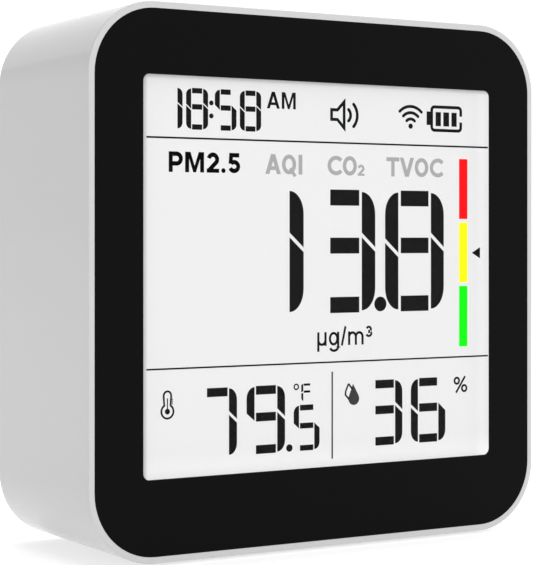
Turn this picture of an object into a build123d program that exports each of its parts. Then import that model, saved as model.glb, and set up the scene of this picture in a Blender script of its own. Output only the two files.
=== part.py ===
"""Desk air quality monitor, in millimetres.

+X is to the right as seen from the front, the front faces -Y and +Z is up. The origin is under the
middle of the body, on the surface that it stands on. Depths are counted from the front face towards
the rear. Places along X and Z are counted from the middle of the front face.
"""

import os
from math import radians, tan

from build123d import *

os.makedirs("parts", exist_ok=True)

# ---------------------------------------------------------------- body
body_width = 82.1
body_height = 82.1
body_depth = 32.0
body_corner = 10.95
draft = 1.0  # degrees, narrower towards the rear
wall = 2.0  # at the rear end, where the wall is thinnest
rim = 1.0  # white edge round the front panel
foot_proud = 0.4  # how far the foot strips hold the front edge off the table

# ---------------------------------------------------------------- front panel and display
mask_thickness = 0.3
lens_thickness = 1.2
tape_thickness = 0.2
panel_gap = 0.05  # between the panel and the rim
side_border = 7.9  # black left and right of the window
top_border = 9.6
bottom_border = 11.2
window_corner = 1.05
ledge_thickness = 1.5
polariser_gap = 0.15  # air between the lens and the display
polariser_thickness = 0.25
polariser_margin = 1.4  # past the window, all round
glass_thickness = 1.1
glass_side = 1.9  # past the window, left and right
front_glass_end = 1.9  # past the window, above and below
rear_glass_end = 0.4
rear_polariser_thickness = 0.2
guide_thickness = 2.0
guide_air = 0.3  # from the guide to the main board
frame_wall = 1.1
frame_corner = 2.8
frame_fit = 0.1  # round the glass
strip_thickness = 1.2
led_size = (0.8, 2.0, 3.0)  # along x, depth, z

# ---------------------------------------------------------------- boards, bosses and screws
board_thickness = 1.6
board_gap = 0.3  # from a board's edge to the wall
boss_radius = 2.2
boss_inset = 3.5  # from the inner wall to the middle of a cover boss
boss_gap = 0.3  # from a board to a boss
notch_gap = 0.15  # from the display frame and the vent mesh to a boss
post_radius = 2.0
post_inset = 2.5
post_spacing = 44.0
pilot_radius = 0.85
shank_radius = 0.8
shank_hole_radius = 1.05
cover_screw_length = 9.0
cover_head_radius = 1.75
cover_head_height = 1.3
board_screw_length = 3.4  # under the head
board_head_radius = 1.7
board_head_height = 1.0
driver_slot = (2.0, 0.5, 0.6)  # long, wide, deep

# ---------------------------------------------------------------- rear cover
cover_thickness = 2.2
cover_inset = 0.2  # behind the housing's rear edge
cover_lip = 0.9  # the housing's wall round the cover
cover_gap = 0.15
vent_width = 2.0
vent_pitch = 4.0
gas_vent = (5, 12.0)  # slots, length
climate_vent = (4, 9.0)
mesh_border = 0.5
mesh_thickness = 0.3
label_size = (26.0, 12.0)
label_recess = 0.2
label_thickness = 0.15

# ---------------------------------------------------------------- buttons and their switches
button_names = ("mode", "power", "set")
button_pitch = 14.0
button_size = (8.0, 3.4)  # along x, depth
button_proud = 0.6
button_gap = 0.2
button_travel = 0.4
flange_size = (11.0, 3.0)
flange_thickness = 0.8
flange_air = 0.04
stem_radius = 1.2
switch_size = (6.0, 4.3, 3.5)  # along x, depth, z
plunger_radius = 0.9
plunger_gap = 0.05
plunger_proud = 0.6
plunger_sunk = 1.0
module_gap = 0.25  # from the wireless module to the switches and to the particle sensor

# ---------------------------------------------------------------- particle sensor
sensor_size = (40.0, 17.3, 44.0)  # along x, depth, z
sensor_side_gap = 2.0  # to the housing's right wall
sensor_wall = 1.2
sensor_lid_thickness = 1.5
gasket_thickness = 0.8
gasket_border = 1.6
sensor_board_thickness = 1.0
fan_drop = 7.0  # below the sensor's middle
fan_opening = 10.5
shroud_radius = 11.3
shroud_wall = 1.2
motor_radius = 6.0
motor_height = 4.5
pin_radius = 0.75
pin_gap = 0.05
hub_radius = 5.5
rotor_height = 7.0
rotor_air = 0.4  # from the motor to the rotor
blade_count = 9
blade_size = (6.4, 0.6)
blade_mid = 7.6
blade_turn = 35.0
inlet_size = (18.0, 8.0)
inlet_rise = 14.0

# ---------------------------------------------------------------- battery and power board
battery_gap = 2.0  # to the wall and to the particle sensor
battery_size = (7.0, 40.0)  # depth, z
battery_z = -4.0
battery_pad_thickness = 0.3
power_board_width = 24.0
power_board_thickness = 1.2
power_post_height = 2.4
power_post_spacing = 18.0
power_post_depth = 15.0
usb_size = (8.94, 7.3, 3.16)  # along x, depth, z
usb_shell = 0.3
usb_inset = 0.6  # behind the rear cover's face
usb_gap = 0.25

# ---------------------------------------------------------------- feet
foot_size = (56.0, 5.0)
foot_inset = 6.0  # from the front and rear faces to a strip's middle
foot_recess = 0.6

# ================================================================ worked out from the above
front_y = -body_depth / 2
centre_z = foot_proud + body_height / 2
slope = tan(radians(draft))
rear_width = body_width - 2 * body_depth * slope
rear_height = body_height - 2 * body_depth * slope
rear_corner = body_corner - body_depth * slope
cavity_width = rear_width - 2 * wall
cavity_height = rear_height - 2 * wall
cavity_corner = rear_corner - wall

panel_width = body_width - 2 * (rim + panel_gap)
panel_height = body_height - 2 * (rim + panel_gap)
panel_corner = body_corner - rim - panel_gap
pocket_depth = mask_thickness + lens_thickness + tape_thickness
cavity_depth = pocket_depth + ledge_thickness  # where the cavity starts
window_width = panel_width - 2 * side_border
window_height = panel_height - top_border - bottom_border
window_z = (bottom_border - top_border) / 2

lens_back = mask_thickness + lens_thickness
polariser_depth = lens_back + polariser_gap
front_glass_depth = polariser_depth + polariser_thickness
rear_glass_depth = front_glass_depth + glass_thickness
rear_polariser_depth = rear_glass_depth + glass_thickness
guide_depth = rear_polariser_depth + rear_polariser_thickness
board_depth = guide_depth + guide_thickness + guide_air
board_back = board_depth + board_thickness
glass_width = window_width + 2 * glass_side
front_glass_height = window_height + 2 * front_glass_end
rear_glass_height = window_height + 2 * rear_glass_end
polariser_width = window_width + 2 * polariser_margin
polariser_height = window_height + 2 * polariser_margin
frame_inner_width = glass_width + 2 * frame_fit
frame_inner_height = front_glass_height + 2 * frame_fit
frame_width = frame_inner_width + 2 * frame_wall
frame_height = frame_inner_height + 2 * frame_wall

cover_back = body_depth - cover_inset
cover_front = cover_back - cover_thickness
cover_width = rear_width - 2 * (cover_lip + cover_gap)
cover_height = rear_height - 2 * (cover_lip + cover_gap)
cover_corner = rear_corner - cover_lip - cover_gap
boss_x = cavity_width / 2 - boss_inset
boss_z = cavity_height / 2 - boss_inset
post_x = post_spacing / 2
post_z = cavity_height / 2 - post_inset

sensor_x = cavity_width / 2 - sensor_side_gap - sensor_size[0] / 2
sensor_back = cover_front - gasket_thickness
sensor_front = sensor_back - sensor_size[1]
sensor_lid_front = sensor_back - sensor_lid_thickness
sensor_board_front = sensor_front + sensor_wall
sensor_board_back = sensor_board_front + sensor_board_thickness
sensor_left = sensor_x - sensor_size[0] / 2
rotor_front = sensor_board_back + motor_height + rotor_air

battery_left = -cavity_width / 2 + battery_gap
battery_width = sensor_left - battery_gap - battery_left
battery_x = battery_left + battery_width / 2
battery_depth = board_back + battery_pad_thickness
battery_top = battery_z + battery_size[1] / 2

power_board_z = -cavity_height / 2 + power_post_height
power_board_top = power_board_z + power_board_thickness
power_board_front = board_back + board_gap
usb_back = cover_back - usb_inset
usb_front = usb_back - usb_size[1]
usb_z = power_board_top + usb_size[2] / 2

switch_z = cavity_height / 2 - 5.5  # the underside of the switches
switch_top = switch_z + switch_size[2]
plunger_top = switch_top + plunger_proud
button_depth = board_back + switch_size[1] / 2
button_top = body_height / 2 - button_depth * slope + button_proud
flange_top = cavity_height / 2 - flange_air
corners = [(sx, sz) for sx in (-1, 1) for sz in (-1, 1)]


def facing(depth, x=0.0, z=0.0):
    """Upright plane that faces the front. Extruding by a negative amount goes towards the rear."""
    return Plane(origin=(x, front_y + depth, centre_z + z), x_dir=(1, 0, 0), z_dir=(0, -1, 0))


def level(z, x=0.0, depth=0.0):
    """Level plane that faces up."""
    return Plane(origin=(x, front_y + depth, centre_z + z), x_dir=(1, 0, 0), z_dir=(0, 0, 1))


def plate(depth, thickness, width, height, x=0.0, z=0.0, corner=0.0, mode=Mode.ADD):
    """Plate parallel to the front face, from this depth towards the rear."""
    with BuildSketch(facing(depth, x, z)) as outline:
        if corner:
            RectangleRounded(width, height, corner)
        else:
            Rectangle(width, height)
    extrude(outline.sketch, amount=-thickness, mode=mode)


def disc(depth, thickness, radius, x=0.0, z=0.0, mode=Mode.ADD):
    """Round plate or hole, square to the front face."""
    with BuildSketch(facing(depth, x, z)) as outline:
        Circle(radius)
    extrude(outline.sketch, amount=-thickness, mode=mode)


def slots(depth, thickness, count, length, x, z):
    """Row of upright vent slots, cut through a plate."""
    with BuildSketch(facing(depth, x, z)) as row:
        with GridLocations(vent_pitch, 0, count, 1):
            SlotOverall(length, vent_width, rotation=90)
    extrude(row.sketch, amount=-thickness, mode=Mode.SUBTRACT)


def clear_of_bosses(depth, thickness, radius):
    """Cuts the piece back from the four bosses of the rear cover."""
    for sx, sz in corners:
        disc(depth, thickness, radius, sx * boss_x, sz * boss_z, mode=Mode.SUBTRACT)


def pan_screw(head_plane, head_radius, head_height, length):
    """Pan-head screw: its head stands on the plane and its shank goes below it."""
    with BuildSketch(head_plane) as head:
        Circle(head_radius)
    extrude(head.sketch, amount=head_height)
    with BuildSketch(head_plane) as shank:
        Circle(shank_radius)
    extrude(shank.sketch, amount=-length)
    with BuildSketch(head_plane.offset(head_height)) as cross:
        Rectangle(driver_slot[0], driver_slot[1])
        Rectangle(driver_slot[1], driver_slot[0])
    extrude(cross.sketch, amount=-driver_slot[2], mode=Mode.SUBTRACT)



# ================================================================ housing
foot_depths = (foot_inset, body_depth - foot_inset)
foot_tops = [-body_height / 2 + depth * slope + foot_recess for depth in foot_depths]

with BuildPart() as housing:
    with BuildSketch(facing(0)):
        RectangleRounded(body_width, body_height, body_corner)
    with BuildSketch(facing(body_depth)):
        RectangleRounded(rear_width, rear_height, rear_corner)
    loft(ruled=True)
    rear_edges = housing.faces().sort_by(Axis.Y)[-1].edges()
    fillet(rear_edges, 0.6)
    front_edges = housing.faces().sort_by(Axis.Y)[0].edges()
    fillet(front_edges, 0.25)
    plate(0, pocket_depth, panel_width + 2 * panel_gap, panel_height + 2 * panel_gap,
          corner=panel_corner + panel_gap, mode=Mode.SUBTRACT)
    plate(pocket_depth, ledge_thickness, frame_width + 2 * boss_gap, frame_height + 2 * boss_gap,
          z=window_z, corner=frame_corner, mode=Mode.SUBTRACT)
    plate(cavity_depth, body_depth - cavity_depth, cavity_width, cavity_height,
          corner=cavity_corner, mode=Mode.SUBTRACT)
    # bosses of the rear cover, in the corners, and posts of the main board, on the front ledge
    for sx, sz in corners:
        disc(cavity_depth, cover_front - cavity_depth, boss_radius, sx * boss_x, sz * boss_z)
        disc(cavity_depth, board_depth - cavity_depth, post_radius, sx * post_x, sz * post_z)
    for sx, sz in corners:
        disc(cover_front - cover_screw_length, cover_screw_length, pilot_radius,
             sx * boss_x, sz * boss_z, mode=Mode.SUBTRACT)
        disc(board_depth - 2.6, 2.6, pilot_radius, sx * post_x, sz * post_z, mode=Mode.SUBTRACT)
    # posts of the power board, on the floor
    for sx in (-1, 1):
        with BuildSketch(level(-cavity_height / 2 - 0.5, sx * power_post_spacing / 2, power_post_depth)):
            Circle(post_radius)
        extrude(amount=power_post_height + 0.5)
        with BuildSketch(level(power_board_z, sx * power_post_spacing / 2, power_post_depth)):
            Circle(pilot_radius)
        extrude(amount=-2.6, mode=Mode.SUBTRACT)
    # the rear rebate, in which the cover sits
    plate(cover_front, body_depth - cover_front, cover_width + 2 * cover_gap, cover_height + 2 * cover_gap,
          corner=cover_corner + cover_gap, mode=Mode.SUBTRACT)
    # button holes in the top wall
    with BuildSketch(level(cavity_height / 2 - 1, 0, button_depth)):
        with GridLocations(button_pitch, 0, len(button_names), 1):
            SlotOverall(button_size[0] + 2 * button_gap, button_size[1] + 2 * button_gap)
    extrude(amount=wall + 4, mode=Mode.SUBTRACT)
    # recesses of the foot strips
    for depth, top in zip(foot_depths, foot_tops):
        with BuildSketch(level(top, 0, depth)):
            SlotOverall(foot_size[0] + 2 * panel_gap, foot_size[1] + 2 * panel_gap)
        extrude(amount=-3, mode=Mode.SUBTRACT)
housing.part.label = "housing"
export_step(housing.part, "parts/housing.step")

# ================================================================ front panel
with BuildPart() as front_mask:
    plate(0, mask_thickness, panel_width, panel_height, corner=panel_corner)
    plate(0, mask_thickness, window_width, window_height, z=window_z, corner=window_corner,
          mode=Mode.SUBTRACT)
front_mask.part.label = "front_mask"
export_step(front_mask.part, "parts/front_mask.step")

with BuildPart() as front_lens:
    plate(mask_thickness, lens_thickness, panel_width, panel_height, corner=panel_corner)
front_lens.part.label = "front_lens"
export_step(front_lens.part, "parts/front_lens.step")

with BuildPart() as lens_tape:
    plate(lens_back, tape_thickness, panel_width, panel_height, corner=panel_corner)
    plate(lens_back, tape_thickness, frame_width + 2 * boss_gap, frame_height + 2 * boss_gap,
          z=window_z, corner=frame_corner, mode=Mode.SUBTRACT)
lens_tape.part.label = "lens_tape"
export_step(lens_tape.part, "parts/lens_tape.step")

# ================================================================ display
with BuildPart() as lcd_front_polariser:
    plate(polariser_depth, polariser_thickness, polariser_width, polariser_height, z=window_z)
lcd_front_polariser.part.label = "lcd_front_polariser"
export_step(lcd_front_polariser.part, "parts/lcd_front_polariser.step")

with BuildPart() as lcd_front_glass:
    plate(front_glass_depth, glass_thickness, glass_width, front_glass_height, z=window_z)
lcd_front_glass.part.label = "lcd_front_glass"
export_step(lcd_front_glass.part, "parts/lcd_front_glass.step")

with BuildPart() as lcd_rear_glass:
    plate(rear_glass_depth, glass_thickness, glass_width, rear_glass_height, z=window_z)
lcd_rear_glass.part.label = "lcd_rear_glass"
export_step(lcd_rear_glass.part, "parts/lcd_rear_glass.step")

with BuildPart() as lcd_rear_polariser:
    plate(rear_polariser_depth, rear_polariser_thickness, polariser_width, window_height, z=window_z)
lcd_rear_polariser.part.label = "lcd_rear_polariser"
export_step(lcd_rear_polariser.part, "parts/lcd_rear_polariser.step")

led_left = -frame_inner_width / 2 + frame_fit
guide_left = led_left + led_size[0] + frame_fit
guide_right = glass_width / 2
with BuildPart() as light_guide:
    plate(guide_depth, guide_thickness, guide_right - guide_left, rear_glass_height,
          x=(guide_left + guide_right) / 2, z=window_z)
light_guide.part.label = "light_guide"
export_step(light_guide.part, "parts/light_guide.step")

with BuildPart() as backlight_leds:
    with BuildSketch(facing(board_depth - led_size[1], led_left + led_size[0] / 2, window_z)):
        with GridLocations(0, window_height / 3, 1, 3):
            Rectangle(led_size[0], led_size[2])
    extrude(amount=-led_size[1])
backlight_leds.part.label = "backlight_leds"
export_step(backlight_leds.part, "parts/backlight_leds.step")

with BuildPart() as lcd_frame:
    plate(polariser_depth, board_depth - polariser_depth, frame_width, frame_height,
          z=window_z, corner=frame_corner)
    plate(polariser_depth, polariser_thickness, polariser_width + 2 * frame_fit,
          polariser_height + 2 * frame_fit, z=window_z, mode=Mode.SUBTRACT)
    plate(front_glass_depth, board_depth - front_glass_depth, frame_inner_width, frame_inner_height,
          z=window_z, mode=Mode.SUBTRACT)
    clear_of_bosses(cavity_depth, board_depth - cavity_depth, boss_radius + notch_gap)
lcd_frame.part.label = "lcd_frame"
export_step(lcd_frame.part, "parts/lcd_frame.step")

strip_z = rear_glass_height / 2 + frame_fit + strip_thickness / 2
with BuildPart() as contact_strips:
    with BuildSketch(facing(rear_glass_depth, 0, window_z)):
        with GridLocations(0, 2 * strip_z, 1, 2):
            Rectangle(window_width, strip_thickness)
    extrude(amount=-(board_depth - rear_glass_depth))
contact_strips.part.label = "contact_strips"
export_step(contact_strips.part, "parts/contact_strips.step")

# ================================================================ main board
climate_x = -cavity_width / 2 + 11.5
climate_z = -cavity_height / 2 + 7.5
with BuildPart() as main_board:
    plate(board_depth, board_thickness, cavity_width - 2 * board_gap, cavity_height - 2 * board_gap,
          corner=cavity_corner - board_gap)
    clear_of_bosses(board_depth, board_thickness, boss_radius + boss_gap)
    for sx, sz in corners:
        disc(board_depth, board_thickness, shank_hole_radius, sx * post_x, sz * post_z, mode=Mode.SUBTRACT)
    # slots that keep the board's heat away from the climate sensor
    plate(board_depth, board_thickness, 1.0, 8.0, climate_x + 3.5, climate_z + 1.0, mode=Mode.SUBTRACT)
    plate(board_depth, board_thickness, 8.0, 1.0, climate_x, climate_z + 4.5, mode=Mode.SUBTRACT)
main_board.part.label = "main_board"
export_step(main_board.part, "parts/main_board.step")

gas_z = cavity_height / 2 - 11.5
with BuildPart() as microcontroller:
    plate(board_back, 0.9, 7.0, 7.0, sensor_x - 8, 7)
microcontroller.part.label = "microcontroller"
export_step(microcontroller.part, "parts/microcontroller.step")

with BuildPart() as display_driver:
    plate(board_back, 1.4, 10.0, 10.0, sensor_x + 8, 6)
display_driver.part.label = "display_driver"
export_step(display_driver.part, "parts/display_driver.step")

wireless_height = switch_z - sensor_size[2] / 2 - 2 * module_gap
wireless_z = (switch_z + sensor_size[2] / 2) / 2
with BuildPart() as wireless_module:
    plate(board_back, 0.8, 16.0, wireless_height, sensor_x + 4, wireless_z)
wireless_module.part.label = "wireless_module"
export_step(wireless_module.part, "parts/wireless_module.step")

with BuildPart() as wireless_shield:
    plate(board_back + 0.8, 1.8, 11.0, wireless_height - 1.2, sensor_x + 2.2, wireless_z, corner=0.5)
wireless_shield.part.label = "wireless_shield"
export_step(wireless_shield.part, "parts/wireless_shield.step")

with BuildPart() as co2_sensor:
    plate(board_back, 6.5, 10.0, 10.0, battery_left + 8.5, gas_z, corner=0.4)
    disc(board_back + 6.0, 0.5, 2.6, battery_left + 8.5, gas_z, mode=Mode.SUBTRACT)
co2_sensor.part.label = "co2_sensor"
export_step(co2_sensor.part, "parts/co2_sensor.step")

with BuildPart() as gas_sensor:
    plate(board_back, 1.0, 3.0, 3.0, battery_left + 22, gas_z)
    disc(board_back + 0.7, 0.3, 0.9, battery_left + 22, gas_z, mode=Mode.SUBTRACT)
gas_sensor.part.label = "gas_sensor"
export_step(gas_sensor.part, "parts/gas_sensor.step")

with BuildPart() as climate_sensor:
    plate(board_back, 0.9, 2.5, 2.5, climate_x, climate_z)
    disc(board_back + 0.6, 0.3, 0.6, climate_x, climate_z, mode=Mode.SUBTRACT)
climate_sensor.part.label = "climate_sensor"
export_step(climate_sensor.part, "parts/climate_sensor.step")

buzzer_x = boss_x - 8
buzzer_z = -cavity_height / 2 + 9.7
with BuildPart() as buzzer:
    disc(board_back, 4.5, 5.5, buzzer_x, buzzer_z)
    disc(board_back + 3.7, 0.8, 1.2, buzzer_x, buzzer_z, mode=Mode.SUBTRACT)
buzzer.part.label = "buzzer"
export_step(buzzer.part, "parts/buzzer.step")

# ================================================================ buttons
button_xs = [(index - 1) * button_pitch for index in range(len(button_names))]

with BuildPart() as tact_switches:
    with BuildSketch(facing(board_back, 0, switch_z + switch_size[2] / 2)):
        with GridLocations(button_pitch, 0, len(button_names), 1):
            Rectangle(switch_size[0], switch_size[2])
    extrude(amount=-switch_size[1])
    with BuildSketch(level(switch_top, 0, button_depth)):
        with GridLocations(button_pitch, 0, len(button_names), 1):
            Circle(plunger_radius + plunger_gap)
    extrude(amount=-(plunger_sunk + 2 * button_travel), mode=Mode.SUBTRACT)
tact_switches.part.label = "tact_switches"
export_step(tact_switches.part, "parts/tact_switches.step")

for name, x in zip(button_names, button_xs):
    with BuildPart() as button:
        with BuildSketch(level(flange_top, x, button_depth)):
            SlotOverall(button_size[0], button_size[1])
        extrude(amount=button_top - flange_top)
        fillet(button.faces().sort_by(Axis.Z)[-1].edges(), 0.4)
        with BuildSketch(level(flange_top, x, button_depth)):
            SlotOverall(flange_size[0], flange_size[1])
        extrude(amount=-flange_thickness)
        with BuildSketch(level(flange_top - flange_thickness, x, button_depth)):
            Circle(stem_radius)
        extrude(amount=-(flange_top - flange_thickness - plunger_top))
    button.part.label = f"button_{name}"
    export_step(button.part, f"parts/button_{name}.step")

    with BuildPart() as plunger:
        with BuildSketch(level(plunger_top, x, button_depth)):
            Circle(plunger_radius)
        extrude(amount=-(plunger_proud + plunger_sunk))
    plunger.part.label = f"plunger_{name}"
    export_step(plunger.part, f"parts/plunger_{name}.step")

# ================================================================ battery
with BuildPart() as battery_pad:
    plate(board_back, battery_pad_thickness, battery_width - 6, battery_size[1] - 6, battery_x, battery_z)
battery_pad.part.label = "battery_pad"
export_step(battery_pad.part, "parts/battery_pad.step")

with BuildPart() as battery_cell:
    plate(battery_depth, battery_size[0], battery_width, battery_size[1], battery_x, battery_z)
    fillet(battery_cell.edges().filter_by(Axis.Z), 1.5)
battery_cell.part.label = "battery_cell"
export_step(battery_cell.part, "parts/battery_cell.step")

socket_x = battery_x + 7
socket_z = battery_top + 2.5
with BuildPart() as battery_socket:
    with BuildSketch(facing(board_back, socket_x, socket_z + 1.75)):
        Rectangle(6.0, 3.5)
    extrude(amount=-4.0)
battery_socket.part.label = "battery_socket"
export_step(battery_socket.part, "parts/battery_socket.step")

with BuildPart() as battery_leads:
    with BuildSketch(level(battery_top, socket_x, board_back + 2.0)):
        with GridLocations(2.0, 0, 2, 1):
            Circle(0.5)
    extrude(amount=socket_z - battery_top)
battery_leads.part.label = "battery_leads"
export_step(battery_leads.part, "parts/battery_leads.step")

# ================================================================ power board
power_board_length = cover_front - board_gap - power_board_front
power_board_middle = power_board_front + power_board_length / 2
with BuildPart() as power_board:
    with BuildSketch(level(power_board_z, 0, power_board_middle)):
        Rectangle(power_board_width, power_board_length)
    extrude(amount=power_board_thickness)
    with BuildSketch(level(power_board_z, 0, power_post_depth)):
        with GridLocations(power_post_spacing, 0, 2, 1):
            Circle(shank_hole_radius)
    extrude(amount=power_board_thickness, mode=Mode.SUBTRACT)
power_board.part.label = "power_board"
export_step(power_board.part, "parts/power_board.step")

with BuildPart() as usb_shell_piece:
    with BuildSketch(facing(usb_front, 0, usb_z)):
        SlotOverall(usb_size[0], usb_size[2])
    extrude(amount=-usb_size[1])
    with BuildSketch(facing(usb_front + 1.0, 0, usb_z)):
        SlotOverall(usb_size[0] - 2 * usb_shell, usb_size[2] - 2 * usb_shell)
    extrude(amount=-(usb_size[1] - 1.0), mode=Mode.SUBTRACT)
usb_shell_piece.part.label = "usb_c_shell"
export_step(usb_shell_piece.part, "parts/usb_c_shell.step")

with BuildPart() as usb_tongue:
    with BuildSketch(facing(usb_front + 1.0, 0, usb_z)):
        SlotOverall(usb_size[0] - 2 * usb_shell - 0.1, usb_size[2] - 2 * usb_shell - 0.1)
    extrude(amount=-1.0)
    with BuildSketch(facing(usb_front + 2.0, 0, usb_z)):
        Rectangle(6.7, 0.7)
    extrude(amount=-(usb_size[1] - 2.8))
usb_tongue.part.label = "usb_c_tongue"
export_step(usb_tongue.part, "parts/usb_c_tongue.step")

with BuildPart() as charger_chip:
    with BuildSketch(level(power_board_top, 0, power_post_depth)):
        Rectangle(4.0, 4.0)
    extrude(amount=0.9)
charger_chip.part.label = "charger_chip"
export_step(charger_chip.part, "parts/charger_chip.step")

with BuildPart() as board_header:
    plate(board_back, 2.8, 12.0, 2.5, 0, power_board_top + 1.25)
board_header.part.label = "board_header"
export_step(board_header.part, "parts/board_header.step")

# ================================================================ particle sensor
fan_z = -fan_drop
with BuildPart() as sensor_base:
    plate(sensor_front, sensor_lid_front - sensor_front, sensor_size[0], sensor_size[2], sensor_x, corner=1.5)
    plate(sensor_board_front, sensor_lid_front - sensor_board_front, sensor_size[0] - 2 * sensor_wall,
          sensor_size[2] - 2 * sensor_wall, sensor_x, mode=Mode.SUBTRACT)
sensor_base.part.label = "sensor_base"
export_step(sensor_base.part, "parts/sensor_base.step")

with BuildPart() as sensor_lid:
    plate(sensor_lid_front, sensor_lid_thickness, sensor_size[0], sensor_size[2], sensor_x, corner=1.5)
    shroud_front = rotor_front - 0.5
    disc(shroud_front, sensor_lid_front - shroud_front, shroud_radius + shroud_wall, sensor_x, fan_z)
    disc(shroud_front, sensor_lid_front - shroud_front, shroud_radius, sensor_x, fan_z, mode=Mode.SUBTRACT)
    # the exhaust, with three spokes and a middle disc, and the inlet, with two bars
    disc(sensor_lid_front, sensor_lid_thickness, fan_opening, sensor_x, fan_z, mode=Mode.SUBTRACT)
    disc(sensor_lid_front, sensor_lid_thickness, 3.5, sensor_x, fan_z)
    with BuildSketch(facing(sensor_lid_front, sensor_x, fan_z)):
        with PolarLocations((3.0 + fan_opening + 0.5) / 2, 3, start_angle=90):
            Rectangle(fan_opening + 0.5 - 3.0, 1.2)
    extrude(amount=-sensor_lid_thickness)
    with BuildSketch(facing(sensor_lid_front, sensor_x, inlet_rise)):
        with GridLocations(inlet_size[0] / 3, 0, 3, 1):
            Rectangle(inlet_size[0] / 3 - 1.0, inlet_size[1])
    extrude(amount=-sensor_lid_thickness, mode=Mode.SUBTRACT)
sensor_lid.part.label = "sensor_lid"
export_step(sensor_lid.part, "parts/sensor_lid.step")

with BuildPart() as sensor_board:
    plate(sensor_board_front, sensor_board_thickness, sensor_size[0] - 2 * sensor_wall - 0.4,
          sensor_size[2] - 2 * sensor_wall - 0.4, sensor_x)
sensor_board.part.label = "sensor_board"
export_step(sensor_board.part, "parts/sensor_board.step")

with BuildPart() as sensor_header:
    plate(board_back, sensor_front - board_back, 11.0, 4.0, sensor_x, -14)
sensor_header.part.label = "sensor_header"
export_step(sensor_header.part, "parts/sensor_header.step")

laser_radius = 3.0
laser_plane = Plane(
    origin=(sensor_x - 15, front_y + sensor_board_back + laser_radius, centre_z + inlet_rise),
    x_dir=(0, 1, 0),
    z_dir=(1, 0, 0),
)
with BuildPart() as laser_module:
    with BuildSketch(laser_plane):
        Circle(laser_radius)
    extrude(amount=12)
    with BuildSketch(laser_plane.offset(12)):
        Circle(1.0)
    extrude(amount=-1.5, mode=Mode.SUBTRACT)
laser_module.part.label = "laser_module"
export_step(laser_module.part, "parts/laser_module.step")

with BuildPart() as photodiode:
    plate(sensor_board_back, 2.6, 4.0, 4.0, sensor_x + 6, inlet_rise)
photodiode.part.label = "photodiode"
export_step(photodiode.part, "parts/photodiode.step")

with BuildPart() as fan_motor:
    disc(sensor_board_back, motor_height, motor_radius, sensor_x, fan_z)
    disc(sensor_board_back, rotor_front + rotor_height - 0.4 - sensor_board_back, pin_radius, sensor_x, fan_z)
fan_motor.part.label = "fan_motor"
export_step(fan_motor.part, "parts/fan_motor.step")

with BuildPart() as fan_rotor:
    disc(rotor_front, rotor_height, hub_radius, sensor_x, fan_z)
    with BuildSketch(facing(rotor_front + 0.4, sensor_x, fan_z)):
        with PolarLocations(blade_mid, blade_count):
            Rectangle(blade_size[0], blade_size[1], rotation=blade_turn)
    extrude(amount=-(rotor_height - 0.8))
    disc(rotor_front, rotor_height, pin_radius + pin_gap, sensor_x, fan_z, mode=Mode.SUBTRACT)
fan_rotor.part.label = "fan_rotor"
export_step(fan_rotor.part, "parts/fan_rotor.step")

with BuildPart() as sensor_gasket:
    plate(sensor_back, gasket_thickness, sensor_size[0], sensor_size[2], sensor_x, corner=1.5)
    disc(sensor_back, gasket_thickness, fan_opening + 1.0, sensor_x, fan_z, mode=Mode.SUBTRACT)
    plate(sensor_back, gasket_thickness, inlet_size[0] + 2, inlet_size[1] + 2, sensor_x, inlet_rise,
          mode=Mode.SUBTRACT)
sensor_gasket.part.label = "sensor_gasket"
export_step(sensor_gasket.part, "parts/sensor_gasket.step")

# ================================================================ rear cover
vent_x = battery_left + 13.5
usb_hole_width = usb_size[0] + 2 * usb_gap
usb_hole_height = usb_size[2] + 2 * usb_gap
rib_depth = 5.0
with BuildPart() as rear_cover:
    plate(cover_front, cover_thickness, cover_width, cover_height, corner=cover_corner)
    fillet(rear_cover.faces().sort_by(Axis.Y)[-1].edges(), 0.3)
    for sx, sz in corners:
        disc(cover_front, cover_thickness, shank_hole_radius, sx * boss_x, sz * boss_z, mode=Mode.SUBTRACT)
        disc(cover_back - cover_head_height - 0.1, cover_head_height + 0.1, cover_head_radius + cover_gap,
             sx * boss_x, sz * boss_z, mode=Mode.SUBTRACT)
    slots(cover_front, cover_thickness, gas_vent[0], gas_vent[1], vent_x, gas_z)
    slots(cover_front, cover_thickness, climate_vent[0], climate_vent[1], climate_x + 3, climate_z + 1)
    slots(cover_front, cover_thickness, 4, inlet_size[1], sensor_x, inlet_rise)
    with BuildSketch(facing(cover_front, sensor_x, fan_z)):
        with PolarLocations(6.6, 12):
            SlotOverall(7.0, 1.8)
    extrude(amount=-cover_thickness, mode=Mode.SUBTRACT)
    with BuildSketch(facing(cover_front, 0, usb_z)):
        SlotOverall(usb_hole_width, usb_hole_height)
    extrude(amount=-cover_thickness, mode=Mode.SUBTRACT)
    plate(cover_back - label_recess, label_recess, label_size[0] + 0.4, label_size[1] + 0.4,
          battery_x, battery_z, corner=1.2, mode=Mode.SUBTRACT)
    # ribs on each side of the particle sensor
    for side in (-1, 1):
        plate(cover_front - rib_depth, rib_depth, 1.0, 20.0, sensor_x + side * (sensor_size[0] / 2 + 0.7), 0)
rear_cover.part.label = "rear_cover"
export_step(rear_cover.part, "parts/rear_cover.step")

with BuildPart() as vent_mesh:
    for (count, length), x, z in ((gas_vent, vent_x, gas_z), (climate_vent, climate_x + 3, climate_z + 1)):
        mesh_width = (count - 1) * vent_pitch + vent_width + 2 * mesh_border
        plate(cover_front - mesh_thickness, mesh_thickness, mesh_width, length + 2 * mesh_border, x, z)
    clear_of_bosses(cover_front - mesh_thickness, mesh_thickness, boss_radius + notch_gap)
vent_mesh.part.label = "vent_mesh"
export_step(vent_mesh.part, "parts/vent_mesh.step")

with BuildPart() as rating_label:
    plate(cover_back - label_recess, label_thickness, label_size[0], label_size[1], battery_x, battery_z,
          corner=1.0)
rating_label.part.label = "rating_label"
export_step(rating_label.part, "parts/rating_label.step")

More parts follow.
